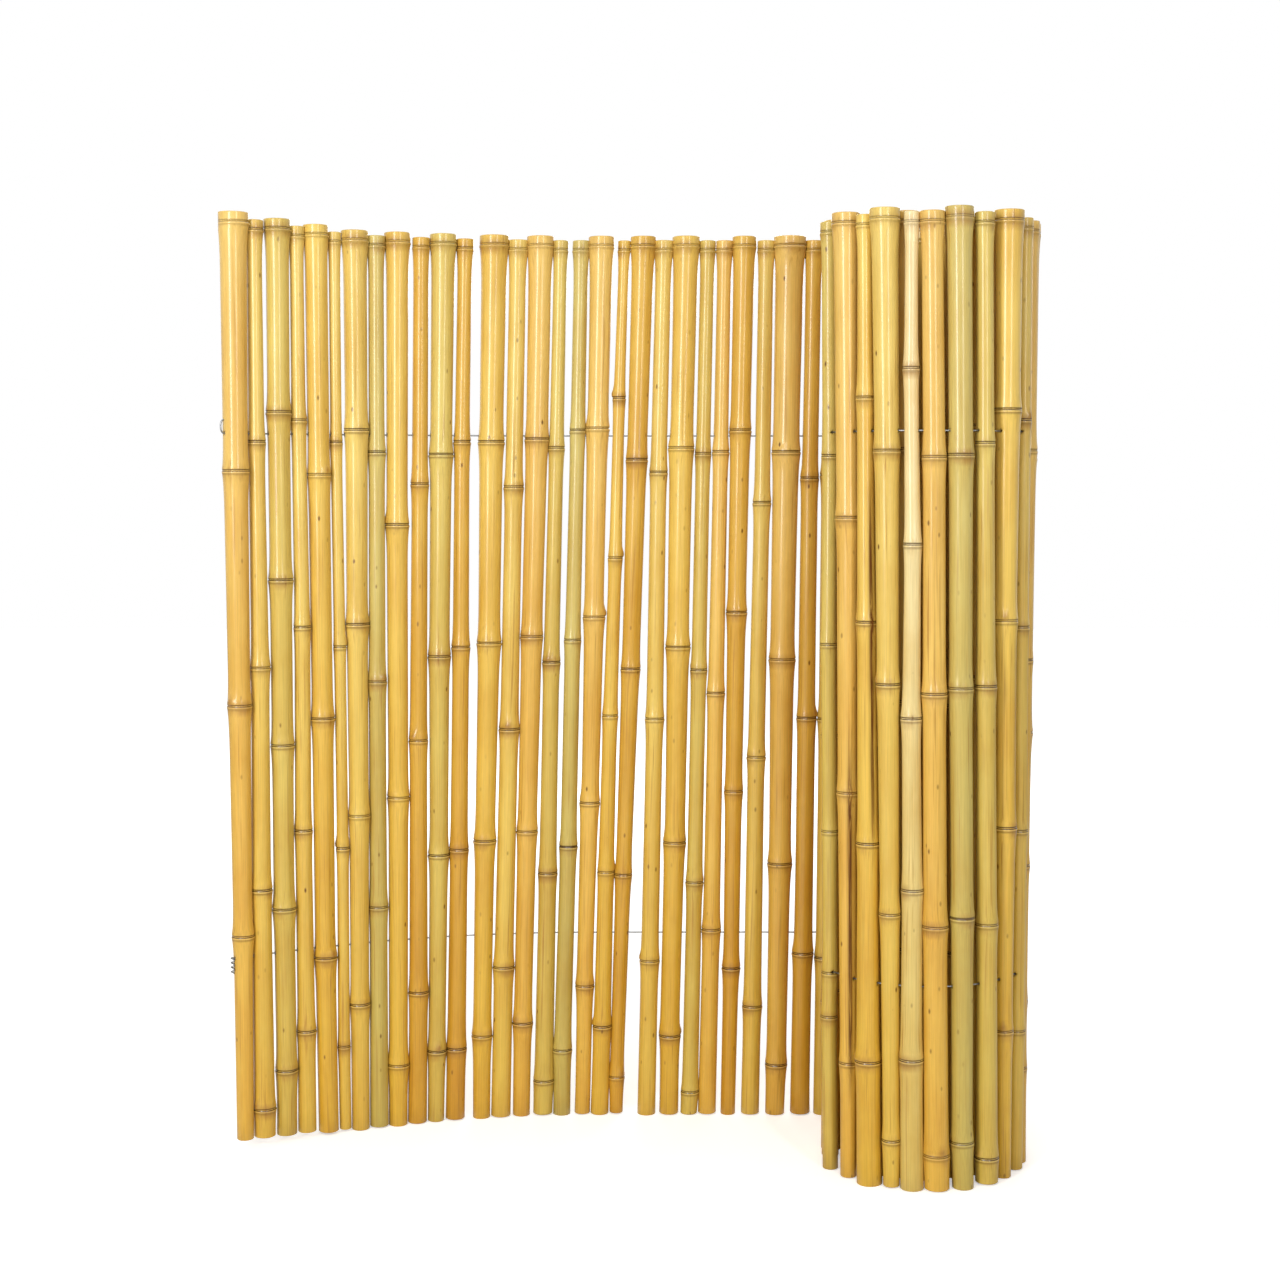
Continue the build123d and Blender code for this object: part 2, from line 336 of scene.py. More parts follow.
    def _specked(self, tree: bpy.types.NodeTree, ground: bpy.types.NodeSocket,
                 place: bpy.types.NodeSocket) -> bpy.types.NodeSocket:
        """Scatter rare dark specks of mould and bruising.

        Args:
            tree: Node tree that gets the nodes.
            ground: Colour so far.
            place: Millimetres in the culm's own frame.

        Returns:
            The specked colour.
        """
        across = 1 / self.speck_spacing_mm
        drawn = add_node(tree, "ShaderNodeMapping", {"Scale": (across, across, across / self.speck_stretch)},
                         {"Vector": place})
        cells = add_node(tree, "ShaderNodeTexVoronoi", {"Scale": 1.0}, {"Vector": drawn.outputs["Vector"]})
        size = self.speck_mm / self.speck_spacing_mm
        dot = add_node(tree, "ShaderNodeMapRange", {"From Min": size * 0.4, "From Max": size, "To Min": 1.0,
                                                    "To Max": 0.0}, {"Value": cells.outputs["Distance"]})
        lot = add_node(tree, "ShaderNodeSeparateColor", links={"Color": cells.outputs["Color"]})
        chosen = add_node(tree, "ShaderNodeMath", {"operation": "GREATER_THAN", 1: 0.5},
                          {0: lot.outputs["Red"]})
        strength = add_node(tree, "ShaderNodeMath", {"operation": "MULTIPLY"},
                            {0: dot.outputs["Result"], 1: chosen.outputs["Value"]})
        weak = add_node(tree, "ShaderNodeMath", {"operation": "MULTIPLY"},
                        {0: strength.outputs["Value"], 1: lot.outputs["Green"]})
        return add_node(tree, "ShaderNodeMix", {"data_type": "RGBA", 7: linear(self.speck)},
                        {0: weak.outputs["Value"], 6: ground}).outputs[2]

    def _marked_and_shaded(self, tree: bpy.types.NodeTree, ground: bpy.types.NodeSocket, marked_and_shaded: bpy.types.Node,
                fibre: bpy.types.NodeSocket) -> bpy.types.NodeSocket:
        """Paint shade into and around the drilled pits, and darken bud scars and mouldy strips.

        Args:
            tree: Node tree that gets the nodes.
            ground: Colour so far.
            marked_and_shaded: Strengths of the pits' painted shade, the stain and the bud.
            fibre: Fine upright streaks, which break the stain.

        Returns:
            The finished colour.
        """
        rough = add_node(tree, "ShaderNodeMapRange", {"From Min": 0.3, "From Max": 0.5}, {"Value": fibre})
        mould = add_node(tree, "ShaderNodeMath", {"operation": "MULTIPLY"},
                         {0: marked_and_shaded.outputs["Green"], 1: rough.outputs["Result"]})
        stained = add_node(tree, "ShaderNodeMix", {"data_type": "RGBA", 7: linear(self.stain)},
                           {0: mould.outputs["Value"], 6: ground})
        budded = add_node(tree, "ShaderNodeMix", {"data_type": "RGBA", 7: linear(self.smudge_and_shade)},
                          {0: marked_and_shaded.outputs["Blue"], 6: stained.outputs[2]})
        # Near-black painted shade in and around the drilled holes that the wires pass through.
        return add_node(tree, "ShaderNodeMix", {"data_type": "RGBA", 7: linear(self.pit_shade)},
                        {0: marked_and_shaded.outputs["Red"], 6: budded.outputs[2]}).outputs[2]


@dataclass(frozen=True)
class SawnBamboo:
    """Sawn bamboo: the cut wall and the woody inside.

    The eye sees a dull cream wall full of small dark fibre ends, browner inside the hollow.
    """

    wall: str = "D9BC82"
    fibre_end: str = "9C7436"
    dot_mm: float = 1.0

    def material(self) -> bpy.types.Material:
        """Build the shader.

        Returns:
            The sawn bamboo material.
        """
        made = bpy.data.materials.new("sawn_bamboo")
        made.use_nodes = True
        tree = made.node_tree
        shader = tree.nodes["Principled BSDF"]
        place = add_node(tree, "ShaderNodeAttribute", {"attribute_name": "culm_mm"}).outputs["Vector"]
        ends = add_node(tree, "ShaderNodeTexVoronoi", {"Scale": 1 / self.dot_mm}, {"Vector": place})
        grain = add_node(tree, "ShaderNodeMapRange", {"From Min": 0.15, "From Max": 0.5},
                         {"Value": ends.outputs["Distance"]})
        colour = add_node(tree, "ShaderNodeMix", {"data_type": "RGBA", 6: linear(self.fibre_end),
                                                  7: linear(self.wall)}, {0: grain.outputs["Result"]})
        tree.links.new(colour.outputs[2], shader.inputs["Base Color"])
        relief = add_node(tree, "ShaderNodeBump", {"Strength": 0.4, "Distance": 0.2 * MM},
                          {"Height": grain.outputs["Result"]})
        tree.links.new(relief.outputs["Normal"], shader.inputs["Normal"])
        shader.inputs["Roughness"].default_value = 0.82
        return made


@dataclass(frozen=True)
class GalvanisedWire:
    """Drawn steel wire, hot-dip galvanised: a dull zinc skin with faint spangle.

    The eye sees a cool grey metal, brighter where it is fresh and darker where it has weathered.
    """

    bright: str = "B4B6B7"
    dull: str = "5A5C5E"
    spangle_mm: float = 2.5

    def material(self) -> bpy.types.Material:
        """Build the shader.

        Returns:
            The galvanised wire material.
        """
        made = bpy.data.materials.new("galvanised_wire")
        made.use_nodes = True
        tree = made.node_tree
        shader = tree.nodes["Principled BSDF"]
        place = add_node(tree, "ShaderNodeTexCoord").outputs["Object"]
        spangle = add_node(tree, "ShaderNodeTexNoise", {"Scale": 1 / (self.spangle_mm * MM), "Detail": 3.0},
                           {"Vector": place})
        colour = add_node(tree, "ShaderNodeMix", {"data_type": "RGBA", 6: linear(self.dull),
                                                  7: linear(self.bright)}, {0: spangle.outputs["Fac"]})
        tree.links.new(colour.outputs[2], shader.inputs["Base Color"])
        rough = add_node(tree, "ShaderNodeMapRange", {"To Min": 0.3, "To Max": 0.55},
                         {"Value": spangle.outputs["Fac"]})
        tree.links.new(rough.outputs["Result"], shader.inputs["Roughness"])
        shader.inputs["Metallic"].default_value = 1.0
        return made


@dataclass
class Level:
    """One ring of corners of a CAD culm, in metres."""

    height: float
    centre: Vector
    radius: float


def weld(mesh: bpy.types.Mesh) -> tuple[list[Vector], list[set[int]]]:
    """Merge a CAD mesh's doubled corners and split it into its separate solids.

    Args:
        mesh: Mesh of a CAD node.

    Returns:
        The corners, and for each solid the numbers of its corners.
    """
    numbers: dict[tuple[int, int, int], int] = {}
    corners: list[Vector] = []
    merged: list[int] = []
    for vertex in mesh.vertices:
        key = tuple(round(value / SAME_CORNER) for value in vertex.co)
        if key not in numbers:
            numbers[key] = len(corners)
            corners.append(vertex.co.copy())
        merged.append(numbers[key])
    parent = list(range(len(corners)))

    def root(number: int) -> int:
        """Find the lead corner of the solid that a corner belongs to.

        Args:
            number: Number of the corner.

        Returns:
            Number of the lead corner.
        """
        while parent[number] != number:
            parent[number] = parent[parent[number]]
            number = parent[number]
        return number

    for polygon in mesh.polygons:
        first = root(merged[polygon.vertices[0]])
        for other in polygon.vertices:
            parent[root(merged[other])] = first
    solids: dict[int, set[int]] = {}
    for number in range(len(corners)):
        solids.setdefault(root(number), set()).add(number)
    return corners, list(solids.values())


def culm_levels(corners: list[Vector]) -> tuple[list[Level], Vector]:
    """Find the rings of a CAD culm from its corners, and the way that it leans.

    Args:
        corners: Corners of one CAD culm.

    Returns:
        The rings from foot to top, and the level heading of its lean, which is along the wires.
    """
    rings: dict[int, list[Vector]] = {}
    for corner in corners:
        rings.setdefault(round(corner.z / SAME_RING), []).append(corner)
    levels = []
    for ring in [ring for ring in rings.values() if len(ring) in (6, 8)]:
        centre = sum(ring, Vector()) / len(ring)
        corner_radius = sum((corner - centre).length for corner in ring) / len(ring)
        sides = len(ring)
        area_share = math.sqrt(sides * math.sin(math.tau / sides) / math.tau)
        levels.append(Level(centre.z, centre, corner_radius * area_share))
    levels.sort(key=lambda level: level.height)
    lean = levels[-1].centre - levels[0].centre
    heading = Vector((lean.x, lean.y, 0)).normalized()
    return levels, heading


@dataclass
class Culm:
    """One bamboo culm, rebuilt round from the rings of its CAD solid."""

    name: str
    levels: list[Level]
    heading: Vector
    tone: Tone
    stained: Optional[tuple[float, float]] = None
    segments: int = 32
    wire_heights: tuple[float, ...] = ()
    draws: random.Random = field(default_factory=random.Random)
    foot: float = field(init=False)
    top: float = field(init=False)
    joints: list[float] = field(init=False)
    side: Vector = field(init=False)
    bend: list[Vector] = field(init=False)
    bud_turn: float = field(init=False)
    budded: list[bool] = field(init=False)
    grooved: bool = field(init=False)
    oval: float = field(init=False)
    oval_turn: float = field(init=False)
    swell: list[float] = field(init=False)
    strength: list[float] = field(init=False)
    shift: Vector = field(init=False)

    # Body and sawn ends
    RIM = 0.6 * MM
    FULLNESS = 0.6 * MM
    MOST_OVAL = 0.022
    WALL_SHARE = 0.60
    CAVITY = 38.0 * MM
    CAVITY_TAPER = 0.9
    CUP = 6.0 * MM
    CUP_TAPER = 0.85
    EDGE = 0.5 * MM
    BEND_ACROSS_MM = 1.2
    BEND_ALONG_MM = 0.9

    # Joints: millimetres from the scar with the share of the swelling there
    JOINT_PROFILE = (
        (-44.0, 0.00), (-32.0, 0.05), (-22.0, 0.16), (-14.0, 0.34), (-9.0, 0.52), (-5.5, 0.70), (-3.9, 0.80),
        (-3.3, 0.84), (-2.7, 1.00), (-1.7, 1.00), (-0.7, 0.90), (-0.3, 0.66), (0.3, 0.66), (0.9, 0.86),
        (2.2, 0.84), (4.5, 0.64), (8.0, 0.42), (13.0, 0.24), (20.0, 0.10), (32.0, 0.00),
    )
    JOINT_SWELL = 1.65 * MM
    TOP_SWELL = 2.2 * MM
    TOP_KEEP = 0.8
    TOP_SCAR = 0.65
    PLAIN_SPACING = 236.0 * MM
    PLAIN_RADIUS = 9.5 * MM
    MOST_SLENDER = 1.15
    FAR_MM = 40.0

    # Spacing of the skin's rings
    MID_STEP = 26.0 * MM
    ROW_ROOM = 0.25 * MM

    # Drilled pits with the shade painted into them, buds, branch grooves and mouldy strips
    PIT = 3.2 * MM
    PIT_REACH = 1.7 * MM
    PIT_ROWS = (-1.7, -0.85, 0.0, 0.85, 1.7)
    PIT_FADE = (0.5, 1.35)
    BUDDED_SHARE = 0.4
    BUD_REACH = 9.0 * MM
    BUD_RISE = 1.5 * MM
    BUD_WIDTH = 4.2 * MM
    BUD_STAIN = 0.8
    GROOVED_SHARE = 0.45
    GROOVE_DEPTH = 0.55 * MM
    GROOVE_START = (4 * MM, 14 * MM)
    GROOVE_END = (90 * MM, 190 * MM)
    GROOVE_WIDTH = (0.12, 0.52)
    STAIN_TURN = 0.84 * math.pi
    STAIN_FADE = 0.05
    STAIN_WIDTH = (0.14, 0.38)
    PATTERN_SHIFT_MM = 400

    def __post_init__(self) -> None:
        """Work out the joints and the culm's own irregularities."""
        heights = [level.height for level in self.levels]
        self.foot = heights[0]
        self.top = heights[-1]
        self.joints = heights[1:-2:2] + [heights[-2]]
        if len(self.joints) == 1:
            below = self.joints[0] - self.PLAIN_SPACING * self.draws.uniform(0.7, 1.0)
            while below > self.foot + self.CAVITY:
                self.joints.insert(0, below)
                below -= self.PLAIN_SPACING
        self.side = Vector((-self.heading.y, self.heading.x, 0))
        self.bend = [self.side * self.draws.uniform(-self.BEND_ACROSS_MM, self.BEND_ACROSS_MM) * MM
                     + self.heading * self.draws.uniform(-self.BEND_ALONG_MM, self.BEND_ALONG_MM) * MM
                     for _ in self.joints]
        self.bud_turn = self.draws.uniform(0, math.tau)
        self.budded = [self.draws.random() < self.BUDDED_SHARE for _ in self.joints]
        self.grooved = self.draws.random() < self.GROOVED_SHARE
        self.oval = self.draws.uniform(0.0, self.MOST_OVAL)
        self.oval_turn = self.draws.uniform(0, math.pi)
        slender = min(self.body(self.top / 2) / self.PLAIN_RADIUS, self.MOST_SLENDER)
        self.swell = [self.JOINT_SWELL * slender * self.draws.uniform(0.8, 1.15) for _ in self.joints]
        self.swell[-1] = self.TOP_SWELL * slender * self.draws.uniform(0.8, 1.1)
        self.strength = [self.draws.uniform(0.7, 1.0) for _ in self.joints]
        self.strength[-1] *= self.TOP_SCAR
        self.shift = Vector([self.draws.uniform(-self.PATTERN_SHIFT_MM, self.PATTERN_SHIFT_MM)
                             for _ in range(3)])

    def axis(self, height: float) -> Vector:
        """Middle of the culm at a height, with its small natural bends.

        Args:
            height: Height in metres.

        Returns:
            The point on the axis.
        """
        low, high = self.levels[0], self.levels[-1]
        share = (height - low.height) / (high.height - low.height)
        point = low.centre.lerp(high.centre, share)
        point.z = height
        knots = [self.foot] + self.joints
        sways = [Vector()] + self.bend[:-1] + [Vector()]
        for index in range(len(knots) - 1):
            if knots[index] <= height <= knots[index + 1]:
                part = (height - knots[index]) / (knots[index + 1] - knots[index])
                return point + sways[index].lerp(sways[index + 1], part)
        return point

    def body(self, height: float) -> float:
        """Tapered radius between the joints.

        Args:
            height: Height in metres.

        Returns:
            The radius in metres.
        """
        low, high = self.levels[0], self.levels[-1]
        share = (height - low.height) / (high.height - low.height)
        return low.radius + (high.radius - self.RIM - low.radius) * share + self.FULLNESS

    def nearest_joint(self, height: float) -> int:
        """Number of the joint that is closest to a height."""
        return min(range(len(self.joints)), key=lambda index: abs(self.joints[index] - height))

    def swelling(self, height: float) -> float:
        """How far the culm stands out at a height because of its joints.

        Args:
            height: Height in metres.

        Returns:
            The extra radius in metres.
        """
        most = 0.0
        for joint, swell in zip(self.joints, self.swell):
            offset = (height - joint) / MM
            for (low, share_low), (high, share_high) in zip(self.JOINT_PROFILE, self.JOINT_PROFILE[1:]):
                if low <= offset <= high:
                    share = share_low + (share_high - share_low) * (offset - low) / (high - low)
                    most = max(most, share * swell)
        if height > self.joints[-1]:
            most = max(most, self.TOP_KEEP * self.swell[-1])
        return most

    def heights(self) -> list[float]:
        """Heights of the skin's rings from the foot to the top.

        Returns:
            Heights in metres, in order.
        """
        wanted = {self.foot + self.EDGE, self.top - self.EDGE}
        for joint in self.joints:
            wanted.update(joint + offset * MM for offset, _ in self.JOINT_PROFILE)
        for wire in self.wire_heights:
            wanted.update(wire + share * self.PIT_REACH for share in self.PIT_ROWS)
        height = self.foot
        while height < self.top:
            wanted.add(height)
            height += self.MID_STEP
        kept: list[float] = []
        for height in sorted(wanted):
            if self.foot + self.EDGE <= height <= self.top - self.EDGE:
                if not kept or height - kept[-1] > self.ROW_ROOM:
                    kept.append(height)
        return kept

    def relief(self, height: float, turn: float) -> tuple[float, float, float]:
        """Local shape of the skin: drilled pits, buds and branch grooves.

        Args:
            height: Height in metres.
            turn: Angle round the culm, from the heading.

        Returns:
            The change of radius in metres, and the strengths of the pits' painted shade and of the bud.
        """
        change = 0.0
        pit_shade = 0.0
        radius = self.body(height)
        for wire in self.wire_heights:
            across = min(abs(math.sin(turn)), 1.0) * radius
            reach = math.hypot(across, height - wire) / self.PIT_REACH
            if reach < 1.0:
                change -= self.PIT * (1 - reach * reach)
            # Strength of the painted shade around the drilled hole's mouth.
            pit_shade = max(pit_shade, 1 - smooth_step(*self.PIT_FADE, reach))
        bud = 0.0
        index = self.nearest_joint(height)
        above = height - self.joints[index]
        bud_angle = self.bud_turn + index * math.pi
        away = abs((turn - bud_angle + math.pi) % math.tau - math.pi) * radius
        if self.budded[index] and index < len(self.joints) - 1 and 0 < above < self.BUD_REACH:
            rise = math.sin(math.pi * above / self.BUD_REACH) ** 0.7
            width = 1 - smooth_step(0.0, self.BUD_WIDTH, away)
            change += self.BUD_RISE * rise * width
            bud = self.BUD_STAIN * width * rise
        if self.grooved:
            lower = [joint for joint in self.joints if joint <= height]
            number = len(lower) - 1
            start = lower[-1] if lower else self.foot
            groove_angle = self.bud_turn + number * math.pi
            away = abs((turn - groove_angle + math.pi) % math.tau - math.pi)
            depth = self.GROOVE_DEPTH * smooth_step(*self.GROOVE_START, height - start)
            depth *= 1 - smooth_step(*self.GROOVE_END, height - start)
            change -= depth * (1 - smooth_step(*self.GROOVE_WIDTH, away))
        return change, pit_shade, bud

    def build(self, skin: bpy.types.Material, sawn: bpy.types.Material) -> bpy.types.Object:
        """Make the culm's mesh with its skin, cupped top and hollow foot.

        Args:
            skin: Material of the outside.
            sawn: Material of the sawn ends and the hollows.

        Returns:
            The new object.
        """
        rings = self._rings()
        corners: list[Vector] = []
        marks_and_shade: list[tuple[float, float, float]] = []
        for height, radius, on_skin in rings:
            ring_corners, ring_marks_and_shade = self._ring(height, radius, on_skin)
            corners.extend(ring_corners)
            marks_and_shade.extend(ring_marks_and_shade)
        faces = []
        materials = []
        count = self.segments
        for index in range(len(rings) - 1):
            for one in range(count):
                two = (one + 1) % count
                faces.append((index * count + one, index * count + two,
                              (index + 1) * count + two, (index + 1) * count + one))
            materials.extend([0 if rings[index][2] or rings[index + 1][2] else 1] * count)
        bottom = len(corners)
        corners.append(self.axis(self.foot + self.CAVITY))
        corners.append(self.axis(self.top - self.CUP * self.CUP_TAPER))
        marks_and_shade.extend([(0.0, 0.0, 0.0)] * 2)
        last = (len(rings) - 1) * count
        for one in range(count):
            two = (one + 1) % count
            faces.append((bottom, two, one))
            faces.append((bottom + 1, last + one, last + two))
            materials.extend((1, 1))
        mesh = bpy.data.meshes.new(f"{self.name}_culm")
        mesh.from_pydata(corners, [], faces)
        mesh.materials.append(skin)
        mesh.materials.append(sawn)
        mesh.polygons.foreach_set("material_index", materials)
        mesh.polygons.foreach_set("use_smooth", [True] * len(faces))
        mesh.set_sharp_from_angle(angle=math.radians(50))
        self._write_attributes(mesh, marks_and_shade)
        made = bpy.data.objects.new(f"{self.name}_culm", mesh)
        bpy.context.scene.collection.objects.link(made)
        return made

    def _rings(self) -> list[tuple[float, float, bool]]:
        """List the rings from inside the hollow foot, up the skin and into the cupped top.

        Returns:
            Height and mean radius of each ring in metres, and whether it is on the skin.
        """
        foot_radius = self.body(self.foot)
        foot_hollow = foot_radius * self.WALL_SHARE
        top_radius = self.body(self.top) + self.swelling(self.top)
        top_hollow = top_radius * self.WALL_SHARE
        foot_end = [(self.foot + self.CAVITY, foot_hollow * self.CAVITY_TAPER, False),
                    (self.foot + self.EDGE, foot_hollow, False),
                    (self.foot, foot_hollow + self.EDGE, False),
                    (self.foot, foot_radius - self.EDGE, False)]
        skin = [(height, self.body(height) + self.swelling(height), True) for height in self.heights()]
        top_end = [(self.top, top_radius - self.EDGE, False),
                   (self.top, top_hollow + self.EDGE, False),
                   (self.top - self.EDGE, top_hollow, False),
                   (self.top - self.CUP, top_hollow * self.CUP_TAPER, False)]
        return foot_end + skin + top_end

    def _ring(self, height: float, radius: float,
              on_skin: bool) -> tuple[list[Vector], list[tuple[float, float, float]]]:
        """Lay out the corners of one ring.

        Args:
            height: Height in metres.
            radius: Mean radius in metres.
            on_skin: Whether the ring is on the skin, and not on a sawn end.

        Returns:
            The corners, and for each the strength of the pits' painted shade, the stain and the bud.
        """
        centre = self.axis(height)
        corners = []
        marks_and_shade = []
        for number in range(self.segments):
            turn = math.tau * number / self.segments
            change, pit_shade, bud = self.relief(height, turn) if on_skin else (0.0, 0.0, 0.0)
            wide = radius * (1 + self.oval * math.cos(2 * (turn - self.oval_turn))) + change
            corners.append(centre + self.heading * (math.cos(turn) * wide)
                           + self.side * (math.sin(turn) * wide))
            marks_and_shade.append((pit_shade, self._stain(height, turn), bud))
        inwards = self._inwards(corners)
        return [corner + inwards for corner in corners], marks_and_shade

    @staticmethod
    def _inwards(row: list[Vector]) -> Vector:
        """Shift that keeps a ring inside the fence's box.

        Args:
            row: Corners of the ring.

        Returns:
            The shift, which is nothing for most rings.
        """
        shift = Vector()
        for axis in (0, 1):
            values = [corner[axis] for corner in row]
            shift[axis] = max(CAD_BOX[0][axis] - min(values), 0.0) + min(CAD_BOX[1][axis] - max(values), 0.0)
        return shift

    def _stain(self, height: float, turn: float) -> float:
        """Strength of the mouldy strip along one side of a stained culm.

        Args:
            height: Height in metres.
            turn: Angle round the culm, from the heading.

        Returns:
            The strength from 0 to 1.
        """
        if self.stained is None:
            return 0.0
        low, high = self.stained
        away = abs((turn - self.STAIN_TURN + math.pi) % math.tau - math.pi)
        fade = self.STAIN_FADE
        above = smooth_step(low - fade, low + fade, height)
        below = 1 - smooth_step(high - fade, high + fade, height)
        return above * below * (1 - smooth_step(*self.STAIN_WIDTH, away))

    def _joint_distances(self, height: float) -> tuple[float, float, float]:
        """How far a height is from the joints around it.

        Args:
            height: Height in metres.

        Returns:
            Millimetres over the joint below and under the joint above, and the nearer one's strength.
        """
        over = min([(height - joint) / MM for joint in self.joints if joint <= height] + [self.FAR_MM])
        under = min([(joint - height) / MM for joint in self.joints if joint >= height] + [self.FAR_MM])
        return over, under, self.strength[self.nearest_joint(height)]

    def _write_attributes(self, mesh: bpy.types.Mesh, marks_and_shade: list[tuple[float, float, float]]) -> None:
        """Store what the materials read: tone, place on the culm, joint distance, and the stains, buds and
        painted shade of the pits.

        Args:
            mesh: The culm's mesh.
            marks_and_shade: Painted shade of the pits, stain and bud of each corner.
        """
        top_tone = linear(self.tone.value[0])
        foot_tone = linear(self.tone.value[1])
        tones: list[float] = []
        places: list[float] = []
        distances: list[float] = []
        mark_and_shade_values: list[float] = []
        for vertex, mark_and_shade in zip(mesh.vertices, marks_and_shade):
            # Blend from the foot's tone to the paler top's: partly the skin's own colour, partly painted
            # light on the upper culm.
            share = smooth_step(self.foot, self.top, vertex.co.z)
            tones.extend(low + (high - low) * share for low, high in zip(foot_tone, top_tone))
            offset = vertex.co - self.axis(vertex.co.z)
            places.extend((offset.x / MM + self.shift.x, offset.y / MM + self.shift.y,
                           vertex.co.z / MM + self.shift.z))
            distances.extend(self._joint_distances(vertex.co.z))
            mark_and_shade_values.extend((*mark_and_shade, 1.0))
        for kind, name, reading, values in (
            ("FLOAT_COLOR", "tone", "color", tones),
            ("FLOAT_VECTOR", "culm_mm", "vector", places),
            ("FLOAT_VECTOR", "joint_mm", "vector", distances),
            ("FLOAT_COLOR", "marks_and_shade", "color", mark_and_shade_values),
        ):
            mesh.attributes.new(name, kind, "POINT").data.foreach_set(reading, values)


class WireEnd(Enum):
    """Ways in which a wire is bent over where it leaves the first culm."""

    HOOK = "open hook"
    TWIST = "tight twist"


@dataclass
class Fence:
    """All culms and both wires of the fence, in their order along the wires."""

    skin: bpy.types.Material
    sawn: bpy.types.Material
    zinc: bpy.types.Material
    inner_name: str = "inner_roll_poles"
    inner_segments: int = 20
    culms: list[Culm] = field(default_factory=list)

    WIRES = {"upper_wire": WireEnd.HOOK, "lower_wire": WireEnd.TWIST}
    TONES = {
        "panel_pole_03": Tone.OLIVE, "panel_pole_04": Tone.STRAW, "panel_pole_08": Tone.GREEN,
        "panel_pole_09": Tone.GOLD, "panel_pole_10": Tone.OCHRE, "panel_pole_11": Tone.OLIVE,
        "panel_pole_12": Tone.OCHRE, "panel_pole_14": Tone.STRAW, "panel_pole_16": Tone.OLIVE,
        "panel_pole_17": Tone.GREEN, "panel_pole_20": Tone.OCHRE, "panel_pole_21": Tone.STRAW,
        "panel_pole_23": Tone.OLIVE, "panel_pole_25": Tone.OCHRE, "panel_pole_28": Tone.OCHRE,
        "roll_pole_14": Tone.STRAW, "roll_pole_15": Tone.GOLD, "roll_pole_16": Tone.OLIVE,
        "roll_pole_17": Tone.GREEN, "roll_pole_18": Tone.PEACH, "roll_pole_19": Tone.PALE,
        "roll_pole_20": Tone.STRAW, "roll_pole_23": Tone.OLIVE,
    }
    STAINED = {"roll_pole_21": (0.34, 0.66), "roll_pole_22": (0.10, 0.40)}

    def build(self) -> None:
        """Build every culm and both wires in place of their CAD nodes."""
        drilled = tuple(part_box(name)[0].z + FenceWire.radius for name in self.WIRES)
        LOG.info("wires at %s mm", [round(height / MM) for height in drilled])
        names = sorted(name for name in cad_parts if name.startswith(("panel_pole", "roll_pole")))
        for name in names:
            corners, solids = weld(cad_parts[name].data)
            culm = self._culm(name, [corners[number] for number in solids[0]], drilled)
            self._place(culm.build(self.skin, self.sawn), name)
            self.culms.append(culm)
        self._build_inner(drilled)
        for (name, end), height in zip(self.WIRES.items(), drilled):
            wire = FenceWire(name, height, self.culms, end)
            self._place(wire.build(self.zinc), name, "wire")

    def _culm(self, name: str, corners: list[Vector], drilled: tuple[float, ...]) -> Culm:
        """Read a culm back from its CAD solid.

        Args:
            name: Name of the culm.
            corners: Corners of its CAD solid.
            drilled: Heights of the two wires.

        Returns:
            The culm.
        """
        levels, heading = culm_levels(corners)
        draws = random.Random(f"{SEED} {name}")
        tone = self.TONES.get(name, draws.choice((Tone.GOLD, Tone.STRAW, Tone.PEACH)))
        return Culm(name, levels, heading, tone, self.STAINED.get(name), wire_heights=drilled, draws=draws)

    def _build_inner(self, drilled: tuple[float, ...]) -> None:
        """Build the inner turns' culms as one piece of separate shells.

        Args:
            drilled: Heights of the two wires.
        """
        corners, solids = weld(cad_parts[self.inner_name].data)
        parts = []
        for number, solid in enumerate(solids):
            culm = self._culm(f"inner_{number:02d}", [corners[corner] for corner in solid], drilled)
            culm.segments = self.inner_segments
            parts.append((culm, culm.build(self.skin, self.sawn)))
        joined = parts[0][1]
        with bpy.context.temp_override(active_object=joined,
                                       selected_editable_objects=[piece for _, piece in parts]):
            bpy.ops.object.join()
        joined.name = f"{self.inner_name}_culms"
        self._place(joined, self.inner_name)
        self.culms.extend(self._along_spiral([culm for culm, _ in parts]))

    def _along_spiral(self, loose: list[Culm]) -> list[Culm]:
        """Put the inner culms in their order along the wires.

        Args:
            loose: Inner culms in any order.

        Returns:
            The culms, each the nearest one ahead of the last.
        """
        order = []
        last = self.culms[-1]
        left = list(loose)
        while left:
            here = last.axis(last.top / 2)
            ahead = [culm for culm in left if (culm.axis(culm.top / 2) - here).dot(last.heading) > 0] or left
            last = min(ahead, key=lambda culm: (culm.axis(culm.top / 2) - here).length)
            left.remove(last)
            order.append(last)
        return order

    @staticmethod
    def _place(piece: bpy.types.Object, node: str, slot: str = "bamboo") -> None:
        """Ride a piece on the fence in place of its CAD node.

        Args:
            piece: The piece.
            node: The CAD node that it stands for.
            slot: Not used.
        """
        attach(piece, BODY)
        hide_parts(node)
        LOG.info("%s: %d faces", piece.name, len(piece.data.polygons))


